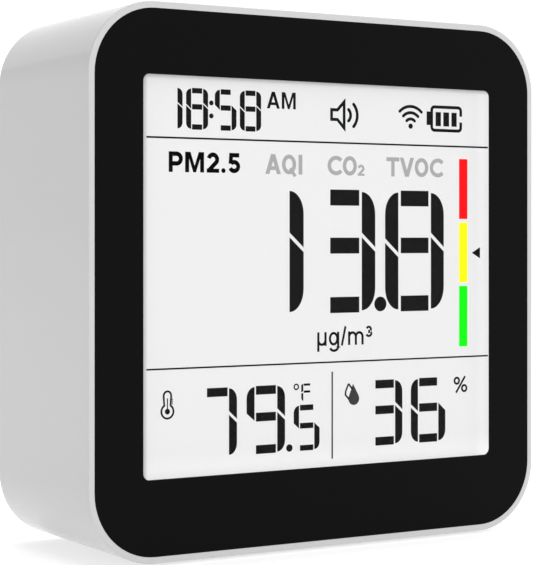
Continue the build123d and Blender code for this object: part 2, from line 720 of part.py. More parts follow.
# ================================================================ screws
with BuildPart() as cover_screws:
    for sx, sz in corners:
        seat = Plane(
            origin=(sx * boss_x, front_y + cover_back - cover_head_height - 0.1, centre_z + sz * boss_z),
            x_dir=(-1, 0, 0),
            z_dir=(0, 1, 0),
        )
        pan_screw(seat, cover_head_radius, cover_head_height, cover_screw_length)
cover_screws.part.label = "cover_screws"
export_step(cover_screws.part, "parts/cover_screws.step")

with BuildPart() as board_screws:
    for sx, sz in corners:
        seat = Plane(
            origin=(sx * post_x, front_y + board_back, centre_z + sz * post_z),
            x_dir=(-1, 0, 0),
            z_dir=(0, 1, 0),
        )
        pan_screw(seat, board_head_radius, board_head_height, board_screw_length)
    for sx in (-1, 1):
        seat = level(power_board_top, sx * power_post_spacing / 2, power_post_depth)
        pan_screw(seat, board_head_radius, board_head_height, board_screw_length)
board_screws.part.label = "board_screws"
export_step(board_screws.part, "parts/board_screws.step")

# ================================================================ feet
with BuildPart() as foot_strips:
    for depth, top in zip(foot_depths, foot_tops):
        with BuildSketch(Plane(origin=(0, front_y + depth, 0))):
            SlotOverall(foot_size[0], foot_size[1])
        extrude(amount=centre_z + top)
foot_strips.part.label = "foot_strips"
export_step(foot_strips.part, "parts/foot_strips.step")
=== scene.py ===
"""The looks of the desk air quality monitor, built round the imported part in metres."""

from math import cos, pi, radians, sin

import bmesh
import bpy
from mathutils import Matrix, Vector


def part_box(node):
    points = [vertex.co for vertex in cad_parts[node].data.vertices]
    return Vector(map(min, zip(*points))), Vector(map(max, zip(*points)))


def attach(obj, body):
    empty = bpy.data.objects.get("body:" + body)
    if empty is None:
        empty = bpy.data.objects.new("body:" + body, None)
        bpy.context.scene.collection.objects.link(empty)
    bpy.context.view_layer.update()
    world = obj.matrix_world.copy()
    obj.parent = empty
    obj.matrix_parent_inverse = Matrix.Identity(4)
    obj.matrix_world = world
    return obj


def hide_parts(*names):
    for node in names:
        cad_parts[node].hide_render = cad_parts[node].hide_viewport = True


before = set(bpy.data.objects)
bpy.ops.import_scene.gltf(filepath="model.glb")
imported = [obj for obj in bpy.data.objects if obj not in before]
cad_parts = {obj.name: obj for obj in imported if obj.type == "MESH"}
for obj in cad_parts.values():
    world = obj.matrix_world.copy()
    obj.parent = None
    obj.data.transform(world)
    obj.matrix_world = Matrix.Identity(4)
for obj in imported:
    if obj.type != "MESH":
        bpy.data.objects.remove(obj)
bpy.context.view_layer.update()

MM = 0.001
BODY = "case"

# ---------------------------------------------------------------- places worked out from the frame
housing_low, housing_high = (Vector(corner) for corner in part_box("housing"))
FRONT_Y = housing_low.y
MIDDLE_Z = (housing_low.z + housing_high.z) / 2
DISPLAY_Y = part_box("lcd_front_polariser")[0][1]
INK_DEPTH = 0.035 * MM


# ---------------------------------------------------------------- materials
def new_material(name):
    """Material with its nodes and links."""
    material = bpy.data.materials.new(name)
    material.use_nodes = True
    return material, material.node_tree.nodes, material.node_tree.links


def remap(tree, source, start, end, at_start, at_end, interpolation="LINEAR"):
    """Output of a node that turns a value from start to end into one from at_start to at_end."""
    node = tree.nodes.new("ShaderNodeMapRange")
    node.interpolation_type = interpolation
    for socket, value in zip(("From Min", "From Max", "To Min", "To Max"), (start, end, at_start, at_end)):
        node.inputs[socket].default_value = value
    tree.links.new(source, node.inputs["Value"])
    return node.outputs["Result"]


def combine(tree, operation, first, second):
    """Output of a maths node on two values."""
    node = tree.nodes.new("ShaderNodeMath")
    node.operation = operation
    tree.links.new(first, node.inputs[0])
    tree.links.new(second, node.inputs[1])
    return node.outputs["Value"]


def plastic(name, colour, roughness, grain=0.02, grain_scale=1800.0, tint=0.03, gloss_level=0.5,
            glow=0.0, skin=0.0):
    """Moulded plastic: a fine surface grain, a faint change of tone and of gloss."""
    material, nodes, links = new_material(name)
    shader = nodes["Principled BSDF"]
    shader.inputs["Specular IOR Level"].default_value = gloss_level
    shader.inputs["Coat Weight"].default_value = skin
    shader.inputs["Coat Roughness"].default_value = 0.05
    shader.inputs["Emission Color"].default_value = (*colour, 1)
    shader.inputs["Emission Strength"].default_value = glow
    place = nodes.new("ShaderNodeTexCoord")
    tone = nodes.new("ShaderNodeTexNoise")
    tone.inputs["Scale"].default_value = 60.0
    tone.inputs["Detail"].default_value = 3.0
    links.new(place.outputs["Object"], tone.inputs["Vector"])
    shade = nodes.new("ShaderNodeMix")
    shade.data_type = "RGBA"
    shade.inputs["A"].default_value = (*[c * (1 - tint) for c in colour], 1)
    shade.inputs["B"].default_value = (*[min(1.0, c * (1 + tint)) for c in colour], 1)
    links.new(tone.outputs["Fac"], shade.inputs["Factor"])
    links.new(shade.outputs["Result"], shader.inputs["Base Color"])
    gloss = remap(material.node_tree, tone.outputs["Fac"], 0.0, 1.0, roughness * 0.92, roughness * 1.08)
    links.new(gloss, shader.inputs["Roughness"])
    speck = nodes.new("ShaderNodeTexNoise")
    speck.inputs["Scale"].default_value = grain_scale
    speck.inputs["Detail"].default_value = 2.0
    links.new(place.outputs["Object"], speck.inputs["Vector"])
    bump = nodes.new("ShaderNodeBump")
    bump.inputs["Strength"].default_value = grain
    bump.inputs["Distance"].default_value = 0.05 * MM
    links.new(speck.outputs["Fac"], bump.inputs["Height"])
    links.new(bump.outputs["Normal"], shader.inputs["Normal"])
    return material


def metal(name, colour, roughness):
    """Brushed or plated metal, its fine lines along one direction."""
    material = plastic(name, colour, roughness, 0.1, 900.0, 0.06)
    nodes, links = material.node_tree.nodes, material.node_tree.links
    nodes["Principled BSDF"].inputs["Metallic"].default_value = 1.0
    place = next(n for n in nodes if n.type == "TEX_COORD")
    lines = nodes.new("ShaderNodeMapping")
    lines.inputs["Scale"].default_value = (1, 1, 30)
    links.new(place.outputs["Object"], lines.inputs["Vector"])
    for noise in [n for n in nodes if n.type == "TEX_NOISE"]:
        links.new(lines.outputs["Vector"], noise.inputs["Vector"])
    return material


def clear(name, weight, roughness):
    """Clear sheet that lets light straight through, with a faint gloss of its own."""
    material, nodes, links = new_material(name)
    nodes.remove(nodes["Principled BSDF"])
    through = nodes.new("ShaderNodeBsdfTransparent")
    gloss = nodes.new("ShaderNodeBsdfGlossy")
    gloss.inputs["Roughness"].default_value = roughness
    edge = nodes.new("ShaderNodeFresnel")
    edge.inputs["IOR"].default_value = 1.3
    share = nodes.new("ShaderNodeMath")
    share.operation = "MULTIPLY"
    share.inputs[1].default_value = weight
    blend = nodes.new("ShaderNodeMixShader")
    links.new(edge.outputs["Fac"], share.inputs[0])
    links.new(share.outputs["Value"], blend.inputs["Fac"])
    links.new(through.outputs["BSDF"], blend.inputs[1])
    links.new(gloss.outputs["BSDF"], blend.inputs[2])
    links.new(blend.outputs["Shader"], nodes["Material Output"].inputs["Surface"])
    return material


# Painted shade and light at the lit display's edges, in millimetres from the panel's middle: painted shade at
# the left and top stands for the mask edge's shadow, painted light at the right and bottom cancels the
# recess's shade.
# axis, edge, where the painted change ends, brightness at the edge.
DISPLAY_PAINTED_EDGE_LIGHT = (
    ("X", -31.25, -30.35, 0.45), ("Z", 30.7, 29.75, 0.45),
    ("X", 33.3, 29.9, 1.42), ("Z", -28.9, -25.0, 1.18),
)


def lit_display():
    """Pale display lit from behind, with painted shade at the left and top edges for the mask's shadow and
    painted light at the right and bottom edges.
    """
    material = plastic("lcd_face", (0.27, 0.27, 0.27), 0.5, 0.01, gloss_level=0.05)
    tree = material.node_tree
    shader = tree.nodes["Principled BSDF"]
    parts = tree.nodes.new("ShaderNodeSeparateXYZ")
    place = next(n for n in tree.nodes if n.type == "TEX_COORD")
    tree.links.new(place.outputs["Object"], parts.inputs["Vector"])
    level = None
    # painted shade and light: each edge's ramp scales the glow, darker at the left and top, brighter at the
    # right and bottom
    for axis, edge, inside, painted_at_edge in DISPLAY_PAINTED_EDGE_LIGHT:
        lift = MIDDLE_Z if axis == "Z" else 0
        start, end = edge * MM + lift, inside * MM + lift
        shade = remap(tree, parts.outputs[axis], start, end, painted_at_edge, 1.0, "SMOOTHSTEP")
        level = shade if level is None else combine(tree, "MULTIPLY", level, shade)
    shader.inputs["Emission Color"].default_value = (0.55, 0.55, 0.55, 1)
    tree.links.new(level, shader.inputs["Emission Strength"])
    return material


WHITE = plastic("white_plastic", (0.525, 0.525, 0.525), 0.45, 0.01, 2500.0, 0.01, gloss_level=0.1, skin=0.9)
PANEL = plastic("panel_black", (0.0015, 0.0015, 0.0015), 0.5, 0.05, gloss_level=0.06)
LENS = clear("clear_acrylic", 0.06, 0.25)
LCD = plastic("lcd_glass", (0.45, 0.46, 0.46), 0.25, 0.01)
LCD_FACE = lit_display()
INK = plastic("segment_black", (0.005, 0.005, 0.005), 0.45, gloss_level=0.05)
INK_BOLD = plastic("label_black", (0.001, 0.001, 0.001), 0.45, gloss_level=0.02)
INK_GREY = plastic("segment_grey", (0.195, 0.195, 0.195), 0.45, gloss_level=0.05, glow=1.0)
INK_DIM = plastic("segment_dim", (0.045, 0.042, 0.04), 0.45, gloss_level=0.05)
RED = plastic("segment_red", (0.60, 0.002, 0.003), 0.45, gloss_level=0.05, glow=1.0)
YELLOW = plastic("segment_yellow", (0.60, 0.60, 0.003), 0.45, gloss_level=0.05, glow=1.0)
GREEN = plastic("segment_green", (0.002, 0.60, 0.002), 0.45, gloss_level=0.05, glow=1.0)


# ---------------------------------------------------------------- flat shapes on the display
class Ink:
    """Thin raised shapes on a flat face, drawn in millimetres from a point on it.

    The face is given by that point and its across, up and outward directions; without one
    it is the display, measured from the panel's middle.
    """

    def __init__(self, name, material, slot, face=None, body=BODY):
        self.name, self.material, self.slot_name, self.body = name, material, slot, body
        face = face or ((0, DISPLAY_Y, MIDDLE_Z), (1, 0, 0), (0, 0, 1), (0, -1, 0))
        self.origin, self.across, self.up, self.out = (Vector(v) for v in face)
        self.mesh = bmesh.new()
        self.count = 0

    def fill(self, outline, holes=()):
        """Closed flat solid from an outline, with any holes."""
        height = INK_DEPTH * (1 + 0.06 * (self.count % 5))
        self.count += 1
        sheets = []
        for lift in (height, 0):
            rings, edges = [], []
            for loop in (outline, *holes):
                ring = []
                for x, z in loop:
                    place = self.origin + self.across * x * MM + self.up * z * MM + self.out * lift
                    ring.append(self.mesh.verts.new(place))
                edges += [self.mesh.edges.new(pair) for pair in zip(ring, ring[1:] + ring[:1])]
                rings.append(ring)
            bmesh.ops.triangle_fill(self.mesh, use_beauty=True, edges=edges)
            sheets.append(rings)
        for near, far in zip(*sheets):
            for i in range(len(near)):
                j = (i + 1) % len(near)
                self.mesh.faces.new((near[i], near[j], far[j], far[i]))

    def box(self, x0, x1, z0, z1):
        self.fill([(x0, z0), (x1, z0), (x1, z1), (x0, z1)])

    def disc(self, x, z, radius):
        self.fill(arc(x, z, radius, radius, 0, 360, 28)[:-1])

    def ring(self, x, z, radius_x, radius_z, width):
        outer = arc(x, z, radius_x, radius_z, 0, 360, 36)[:-1]
        inner = arc(x, z, radius_x - width, radius_z - width, 0, 360, 36)[:-1]
        self.fill(outer, [inner])

    def stroke(self, points, width, closed=False, round_ends=False):
        """Line of even width with mitred corners."""
        points = [Vector(p) for p in points]
        count = len(points)
        left, right = [], []
        for i, here in enumerate(points):
            before = points[i - 1] if closed or i else None
            after = points[(i + 1) % count] if closed or i < count - 1 else None
            into = (here - before).normalized() if before is not None else None
            out = (after - here).normalized() if after is not None else None
            into, out = into or out, out or into
            along = (into + out).normalized()
            side = Vector((-along.y, along.x))
            reach = width / 2 / max(0.35, side.dot(Vector((-into.y, into.x))))
            left.append(tuple(here + side * reach))
            right.append(tuple(here - side * reach))
        if closed:
            self.fill(left, [right])
            return
        caps = [[], []]
        if round_ends:
            for end, other, cap in ((points[-1], points[-2], caps[0]), (points[0], points[1], caps[1])):
                away = (end - other).normalized()
                side = Vector((-away.y, away.x))
                for step in range(1, 8):
                    angle = pi * step / 8
                    cap.append(tuple(end + (side * cos(angle) + away * sin(angle)) * width / 2))
        self.fill(left + caps[0] + right[::-1] + caps[1])

    def done(self):
        """Makes the object."""
        bmesh.ops.recalc_face_normals(self.mesh, faces=self.mesh.faces)
        add_piece(self.name, self.mesh, self.material, self.body)


def add_piece(name, mesh, material, body, smooth=False):
    """Object made from a mesh, riding on a body and given the name passed in."""
    data = bpy.data.meshes.new(name)
    mesh.to_mesh(data)
    mesh.free()
    if smooth:
        data.shade_smooth()
    piece = bpy.data.objects.new(name, data)
    bpy.context.collection.objects.link(piece)
    data.materials.append(material)
    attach(piece, body)
    return piece


def arc(x, z, radius_x, radius_z, start, end, count=12):
    """Points of an elliptical arc, in degrees from +X."""
    angles = [radians(start + (end - start) * i / count) for i in range(count + 1)]
    return [(x + radius_x * cos(a), z + radius_z * sin(a)) for a in angles]


# ---------------------------------------------------------------- seven-segment digits
# Segments: a top, b upper right, c lower right, d bottom, e lower left, f upper left, g middle.
DIGITS = {
    "1": "bc", "3": "abgcd", "5": "afgcd", "6": "afgedc", "7": "abc", "8": "abcdefg", "9": "abcdfg",
}


class DigitStyle:
    """Proportions of one size of digit, in millimetres; the heights are measured down from its top.

    The slits are the slanting gaps halfway up: their two ends on the right and on the left uprights.
    """

    def __init__(self, upright, bar, gap, bar_height, middle, height, right_slit, left_slit, slit, shy, bend):
        self.upright, self.bar, self.gap, self.bar_height = upright, bar, gap, bar_height
        self.middle, self.height = middle, height
        self.right_slit, self.left_slit, self.slit = right_slit, left_slit, slit
        self.shy, self.bend = shy, bend

    def draw(self, ink, segments, left, top):
        """Draws the named segments; left is the left edge of the left uprights."""
        bar_left = left + self.upright + self.gap
        right = bar_left + self.bar + self.gap
        for name, down in (("a", 0), ("g", self.middle), ("d", self.height - self.bar_height)):
            if name in segments:
                ink.box(bar_left, bar_left + self.bar, top - down - self.bar_height, top - down)
        for upper, lower, inner, outer, at_inner, at_outer in (
            ("b", "c", right, right + self.upright, *self.right_slit),
            ("f", "e", left + self.upright, left, *self.left_slit[::-1]),
        ):
            start = top - self.shy - self.bend
            turn = arc(inner, start, outer - inner, self.bend, 90, 0, 8)
            if upper in segments:
                ink.fill([(inner, top - at_inner)] + turn + [(outer, top - at_outer)])
            start = top - self.height + self.shy + self.bend
            turn = arc(inner, start, outer - inner, -self.bend, 90, 0, 8)
            if lower in segments:
                ink.fill([(inner, top - at_inner - self.slit)] + turn + [(outer, top - at_outer - self.slit)])


BIG = DigitStyle(2.57, 5.47, 0.51, 2.48, 7.48, 19.2, (6.70, 8.97), (7.60, 9.85), 0.74, 0.31, 3.5)
MEDIUM = DigitStyle(1.39, 3.57, 0.27, 1.33, 4.07, 10.32, (3.57, 4.80), (4.12, 5.25), 0.57, 0.16, 1.75)
SMALL = DigitStyle(0.96, 2.44, 0.20, 0.86, 2.78, 7.05, (2.55, 3.36), (2.78, 3.60), 0.30, 0.12, 1.15)
CLOCK = DigitStyle(0.85, 1.73, 0.17, 0.79, 2.39, 6.18, (2.15, 2.85), (2.37, 3.10), 0.24, 0.10, 0.90)


# ---------------------------------------------------------------- the display's content
def draw_readings():
    """The numbers: for each, its top, its digits with the left edge of their left uprights, and its dots."""
    ink = Ink("display_digits", INK, "black_film")
    for style, top, digits, dots in (
        (BIG, 14.0, (("1", -14.79), ("3", -1.27), ("8", 12.29)), ((11.36, -3.95, 1.16),)),  # particulates
        (MEDIUM, -15.95, (("7", -22.07), ("9", -13.46)), ((-5.77, -25.7, 0.57),)),  # temperature
        (SMALL, -19.2, (("5", -4.97),), ()),
        (MEDIUM, -15.95, (("3", 8.75), ("6", 17.35)), ()),  # humidity
        (CLOCK, 28.75, (("1", -28.39), ("8", -24.0), ("5", -19.04), ("8", -14.66)),
         ((-19.66, 26.64, 0.37), (-19.66, 24.7, 0.37))),
    ):
        for digit, left in digits:
            style.draw(ink, DIGITS[digit], left, top)
        for x, z, radius in dots:
            ink.disc(x, z, radius)
    ink.done()


def draw_lines():
    """The two level lines and the upright one between the lower readings."""
    ink = Ink("display_lines", INK, "black_film")
    ink.box(-30.7, 33.0, 21.14, 21.41)
    ink.box(-30.7, 33.0, -12.94, -12.69)
    ink.done()
    dim = Ink("display_divider", INK_DIM, "black_film")
    dim.box(2.04, 2.30, -27.8, -14.3)
    dim.done()


def draw_bar():
    """The coloured level bar and its pointer."""
    for name, material, top, bottom in (
        ("level_red", RED, 19.27, 9.55),
        ("level_yellow", YELLOW, 8.95, -0.73),
        ("level_green", GREEN, -1.32, -11.14),
    ):
        ink = Ink(name, material, "polariser")
        ink.box(27.07, 28.76, bottom, top)
        ink.done()
    ink = Ink("level_pointer", INK, "black_film")
    ink.fill([(29.68, 4.05), (31.36, 3.14), (31.36, 4.95)])
    ink.done()


def draw_icons():
    """Loudspeaker, wireless, battery, thermometer and drops."""
    ink = Ink("display_icons", INK, "black_film")
    # loudspeaker
    cone = [(2.05, 26.40), (3.15, 26.40), (4.42, 27.68), (4.42, 23.62), (3.15, 24.90), (2.05, 24.90)]
    ink.stroke(cone, 0.49, closed=True)
    ink.stroke(arc(4.55, 25.64, 1.1, 1.15, -50, 50, 10), 0.50, round_ends=True)
    ink.stroke(arc(4.3, 25.64, 2.62, 2.55, -43, 43, 14), 0.50, round_ends=True)
    # wireless: three arcs over a dot
    for radius in (1.15, 2.15, 3.15):
        ink.stroke(arc(17.3, 24.3, radius, radius, 47, 133, 12), 0.48, round_ends=True)
    ink.disc(17.3, 24.3, 0.42)
    # battery: the terminal on the left, the case open on the right
    ink.box(20.5, 21.42, 24.6, 26.77)
    ink.stroke([(27.40, 26.15)] + [(27.40, 27.0)] + arc(26.85, 27.02, 0.55, 0.53, 0, 90, 5)
               + arc(22.05, 27.02, 0.55, 0.53, 90, 180, 5) + arc(22.05, 24.32, 0.55, 0.53, 180, 270, 5)
               + arc(26.85, 24.32, 0.55, 0.53, 270, 360, 5) + [(27.40, 25.2)], 0.50)
    for left, right in ((22.3, 23.34), (23.86, 25.0), (25.52, 26.55)):
        ink.box(left, right, 24.47, 26.73)
    # thermometer
    ink.stroke(arc(-27.18, -19.1, 1.02, 1.02, 135 - 14, 405 + 14, 30)
               + arc(-27.18, -16.8, 0.64, 0.68, 0, 180, 14), 0.29, closed=True)
    ink.disc(-27.18, -19.1, 0.42)
    ink.box(-27.26, -27.10, -18.8, -17.15)
    for z in (-17.35, -17.65, -17.95):
        ink.box(-26.42, -26.24, z - 0.08, z + 0.08)
    # drops
    ink.stroke([(5.25, -16.3), (6.0, -17.2)], 0.27)
    ink.stroke([(5.25, -16.3), (4.72, -17.45), (4.66, -18.0), (5.3, -18.72)], 0.27)
    ink.done()
    dim = Ink("display_drop", INK_DIM, "black_film")
    dim.fill([(6.10, -16.35)] + arc(6.26, -18.65, 1.02, 1.02, 28, -208, 22))
    dim.done()


def letter(ink, name, left, base, width, height, stroke):
    """One plain letter or sign, drawn with strokes of even width."""
    half = stroke / 2
    right, top = left + width, base + height
    middle = left + width / 2
    low, high = base + half, top - half
    inner_left, inner_right = left + half, right - half
    leg = stroke * 1.12  # a slanting stroke, measured level
    if name in "AV":
        up = 1 if name == "A" else -1
        foot, head = (base, top) if name == "A" else (top, base)
        tip = leg * 0.52  # half the width of the point
        lean = (width / 2 - tip) / height  # sideways run of a slanting stroke for each step up
        apex = foot + up * (width / 2 - leg) / lean
        outline = [(left, foot), (middle - tip, head), (middle + tip, head), (right, foot),
                   (right - leg, foot)]
        if name == "V":
            ink.fill(outline + [(middle, apex), (left + leg, foot)])
        else:
            low_bar, high_bar = base + height * 0.2, base + height * 0.2 + stroke * 0.95
            inset = [left + leg + lean * (z - base) for z in (low_bar, high_bar)]
            hole = [(inset[1], high_bar), (middle, apex), (left + right - inset[1], high_bar)]
            outline += [(left + right - inset[0], low_bar), (inset[0], low_bar), (left + leg, base)]
            ink.fill(outline, [hole])
    elif name == "M":
        flat, tip, dip = stroke * 1.36, stroke * 0.34, stroke * 1.44
        ink.fill([(left, base), (left, top), (left + flat, top), (middle, base + dip),
                  (right - flat, top), (right, top), (right, base), (right - stroke, base),
                  (right - stroke, top - dip), (middle + tip, base), (middle - tip, base),
                  (left + stroke, top - dip), (left + stroke, base)])
    elif name == "P":
        bowl = height * 0.345 - half  # to the middle of the stroke
        turn = arc(right - half - bowl, high - bowl, bowl, bowl, 90, -90, 14)
        ink.stroke([(left, high)] + turn + [(left, high - 2 * bowl)], stroke)
        ink.box(left, left + stroke, base, top)
    elif name in "OQ":
        ink.ring(middle, (base + top) / 2, width / 2, height / 2, stroke)
        if name == "Q":
            ink.stroke([(middle + width * 0.08, base + height * 0.30),
                        (right - width * 0.05, base - height * 0.10)], stroke * 0.85)
    elif name == "C":
        reach = (width - half - 0.08) / 1.74
        ink.stroke(arc(left + half + reach, (base + top) / 2, reach, height / 2 - half, 42, 318, 28), stroke)
    elif name == "I":
        ink.box(left, right, base, top)
    elif name == "T":
        ink.box(left, right, top - stroke, top)
        ink.box(middle - half, middle + half, base, top - stroke)
    elif name == "2":
        bowl = width / 2 - half
        turn = arc(middle, high - bowl, bowl, bowl, 165, -25, 16)
        ink.stroke(turn + [(inner_left + 0.05, low + 0.02)], stroke)
        ink.box(left, right, base, base + stroke * 0.92)
    elif name == "5":
        bowl = height * 0.33 - half
        ink.stroke([(right - width * 0.08, high), (left + width * 0.25, high),
                    (left + width * 0.2, base + height * 0.46)], stroke)
        ink.stroke(arc(middle - 0.01, base + half + bowl, width / 2 - half, bowl, 138, -158, 22), stroke)
    elif name == "3":
        bowl = height * 0.25 - half * 0.3
        ink.stroke(arc(middle, top - half - bowl, width / 2 - half * 1.4, bowl, 160, -80, 14)
                   + arc(middle, base + half + bowl, width / 2 - half, bowl, 80, -160, 14), stroke)
    elif name == "u":
        bowl = width / 2 - half
        ink.stroke([(inner_left, top), (inner_left, base - height * 0.42)], stroke)
        ink.stroke([(inner_right, top), (inner_right, base)], stroke)
        ink.stroke(arc(middle, low + bowl, bowl, bowl, 180, 360, 12), stroke)
    elif name == "g":
        ink.ring(middle - half * 0.4, (base + top) / 2, width / 2 - half * 0.4, height / 2, stroke)
        bowl = width / 2 - half
        ink.stroke([(inner_right, top), (inner_right, base - height * 0.08)]
                   + arc(middle, base - height * 0.08, bowl, height * 0.30, 0, -160, 12), stroke)
    elif name == "m":
        step = (width - stroke) / 2
        bowl = step / 2
        ink.stroke([(inner_left, base), (inner_left, top)], stroke)
        for x in (inner_left, inner_left + step):
            ink.stroke(arc(x + bowl, high - bowl, bowl, bowl, 180, 0, 10) + [(x + step, base)], stroke)
    elif name == "/":
        ink.stroke([(inner_left, base), (inner_right, top)], stroke)
    elif name == "%":
        ink.ring(left + width * 0.24, top - height * 0.26, width * 0.22, height * 0.25, stroke)
        ink.ring(right - width * 0.24, base + height * 0.26, width * 0.22, height * 0.25, stroke)
        ink.stroke([(left + width * 0.18, base), (right - width * 0.18, top)], stroke)


# The row of names above the large reading, in millimetres from the panel's middle.
LABEL_BASE = 16.22
LABEL_HEIGHT = 3.03


def draw_labels():
    """Names of the readings, the lit one bold, and the units; each letter has its left edge and width."""
    bold = Ink("label_pm", INK_BOLD, "black_film")
    for name, left, width in (
        ("P", -26.95, 2.38), ("M", -24.16, 3.23), ("2", -20.45, 2.13), ("5", -16.73, 2.12),
    ):
        letter(bold, name, left, LABEL_BASE, width, LABEL_HEIGHT, 0.66)
    bold.disc(-17.55, 16.57, 0.36)
    bold.done()
    grey = Ink("label_off", INK_GREY, "polariser")
    for name, left, width in (
        ("A", -10.1, 2.76), ("Q", -7.1, 2.55), ("I", -4.07, 0.66),
        ("C", 1.32, 2.6), ("O", 4.18, 2.64),
        ("T", 12.57, 2.48), ("V", 15.18, 2.77), ("O", 18.14, 2.66), ("C", 21.14, 2.6),
    ):
        letter(grey, name, left, LABEL_BASE, width, LABEL_HEIGHT, 0.62)
    letter(grey, "2", 7.02, LABEL_BASE, 1.25, 1.75, 0.38)
    grey.done()
    thin = Ink("label_units", INK, "black_film")
    for name, left, base, width, height, stroke in (
        ("A", -9.84, 26.2, 2.32, 2.55, 0.45), ("M", -7.14, 26.2, 2.53, 2.55, 0.45),
        ("u", -0.62, -10.25, 1.72, 2.12, 0.39), ("g", 1.55, -10.25, 1.93, 2.12, 0.39),
        ("/", 3.80, -10.3, 1.05, 3.0, 0.36), ("m", 5.17, -10.25, 2.95, 2.12, 0.39),
        ("3", 8.48, -9.12, 1.3, 1.8, 0.35), ("%", 25.9, -18.62, 2.9, 2.62, 0.33),
    ):
        letter(thin, name, left, base, width, height, stroke)
    thin.ring(-4.5, -16.39, 0.50, 0.50, 0.22)
    # the unit sign, made of segments
    thin.fill([(-3.58, -17.25), (-3.58, -16.2), (-3.42, -16.0), (-3.23, -16.0), (-3.23, -17.1)])
    thin.fill([(-3.23, -17.35), (-3.23, -18.55), (-3.4, -18.55), (-3.58, -18.2), (-3.58, -17.45)])
    thin.box(-3.12, -1.95, -16.28, -15.94)
    thin.box(-3.12, -1.95, -17.36, -17.02)
    thin.done()


draw_readings()
draw_lines()
draw_bar()
draw_icons()
draw_labels()


# ---------------------------------------------------------------- the part's own nodes
def paint(node, material):
    """Gives a node of the part one material."""
    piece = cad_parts[node]
    for slot in piece.material_slots:
        slot.material = material
    if not piece.material_slots:
        piece.data.materials.append(material)


BUTTON = plastic("button_plastic", (0.55, 0.55, 0.55), 0.4)
BLACK = plastic("black_plastic", (0.02, 0.02, 0.02), 0.45)
CHIP = plastic("chip", (0.018, 0.018, 0.018), 0.6, 0.2)
BOARD = plastic("circuit_board", (0.01, 0.12, 0.05), 0.35)
STEEL = metal("screw_steel", (0.5, 0.5, 0.51), 0.32)
TIN = metal("tin_plate", (0.72, 0.73, 0.74), 0.25)
FOIL = metal("pouch_foil", (0.62, 0.63, 0.65), 0.4)
BRASS = metal("brass_body", (0.72, 0.52, 0.22), 0.3)
RUBBER = plastic("foot_rubber", (0.09, 0.09, 0.092), 0.8, 0.3)
FOAM = plastic("foam", (0.05, 0.05, 0.05), 0.9, 0.5)
LABEL = plastic("label_film", (0.5, 0.5, 0.51), 0.5)
MESH = plastic("mesh_fabric", (0.02, 0.02, 0.02), 0.85, 0.5)
CREAM = plastic("natural_nylon", (0.7, 0.66, 0.55), 0.5)

LOOKS = {
    "housing": WHITE, "rear_cover": WHITE, "front_mask": PANEL, "front_lens": LENS, "lens_tape": BLACK,
    "lcd_front_polariser": LCD_FACE, "lcd_front_glass": LCD, "lcd_rear_glass": LCD, "lcd_rear_polariser": LCD,
    "light_guide": LCD, "backlight_leds": CREAM, "lcd_frame": CREAM, "contact_strips": RUBBER,
    "main_board": BOARD, "power_board": BOARD, "sensor_board": BOARD, "wireless_module": BOARD,
    "microcontroller": CHIP, "display_driver": CHIP, "charger_chip": CHIP, "photodiode": CHIP,
    "wireless_shield": TIN, "usb_c_shell": TIN, "co2_sensor": TIN, "gas_sensor": TIN, "climate_sensor": TIN,
    "buzzer": BLACK, "tact_switches": BLACK, "board_header": BLACK, "sensor_header": BLACK,
    "usb_c_tongue": BLACK, "fan_motor": BLACK, "fan_rotor": BLACK, "sensor_base": BLACK, "sensor_lid": BLACK,
    "button_mode": BUTTON, "button_power": BUTTON, "button_set": BUTTON,
    "plunger_mode": CREAM, "plunger_power": CREAM, "plunger_set": CREAM,
    "battery_pad": FOAM, "sensor_gasket": FOAM, "battery_cell": FOIL, "battery_socket": CREAM,
    "battery_leads": RED, "laser_module": BRASS, "vent_mesh": MESH, "cover_screws": STEEL,
    "board_screws": STEEL, "foot_strips": RUBBER, "rating_label": LABEL,
}
for node, material in LOOKS.items():
    paint(node, material)


# ---------------------------------------------------------------- pieces finer than the part's own
def loft(mesh, rings):
    """Closed skin through rings of points, flat at both ends."""
    rows = [[mesh.verts.new(Vector(point) * MM) for point in ring] for ring in rings]
    for a, b in zip(rows, rows[1:]):
        for i in range(len(a)):
            j = (i + 1) % len(a)
            mesh.faces.new((a[i], a[j], b[j], b[i]))
    mesh.faces.new(rows[0])
    mesh.faces.new(rows[-1][::-1])


def pill(x, y, z, length, width, inset=0.0, count=10):
    """Level ring with round ends, in millimetres."""
    radius, half = width / 2 - inset, (length - width) / 2
    ends = arc(x + half, y, radius, radius, -90, 90, count) + arc(x - half, y, radius, radius, 90, 270, count)
    return [(a, b, z) for a, b in ends]


def islands(node):
    """Low and high corners, in millimetres, of a node's separate solids."""
    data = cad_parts[node].data
    leader = list(range(len(data.vertices)))

    def lead(i):
        while leader[i] != i:
            leader[i] = leader[leader[i]]
            i = leader[i]
        return i

    places = {}
    for vertex in data.vertices:
        key = tuple(round(c * 1e6) for c in vertex.co)
        leader[lead(vertex.index)] = lead(places.setdefault(key, vertex.index))
    for edge in data.edges:
        leader[lead(edge.vertices[0])] = lead(edge.vertices[1])
    groups = {}
    for vertex in data.vertices:
        groups.setdefault(lead(vertex.index), []).append(vertex.co / MM)
    boxes = [([min(c[k] for c in g) for k in range(3)], [max(c[k] for c in g) for k in range(3)])
             for g in groups.values()]
    return sorted(boxes, key=lambda box: (round(box[0][0], 1), round(box[0][2], 1), round(box[0][1], 1)))


def finish(name, mesh, material, body, node):
    """Makes a smooth-shaded piece that takes the place of a node."""
    bmesh.ops.recalc_face_normals(mesh, faces=mesh.faces)
    piece = add_piece(name, mesh, material, body, smooth=True)
    piece.data.set_sharp_from_angle(angle=radians(35))
    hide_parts(node)


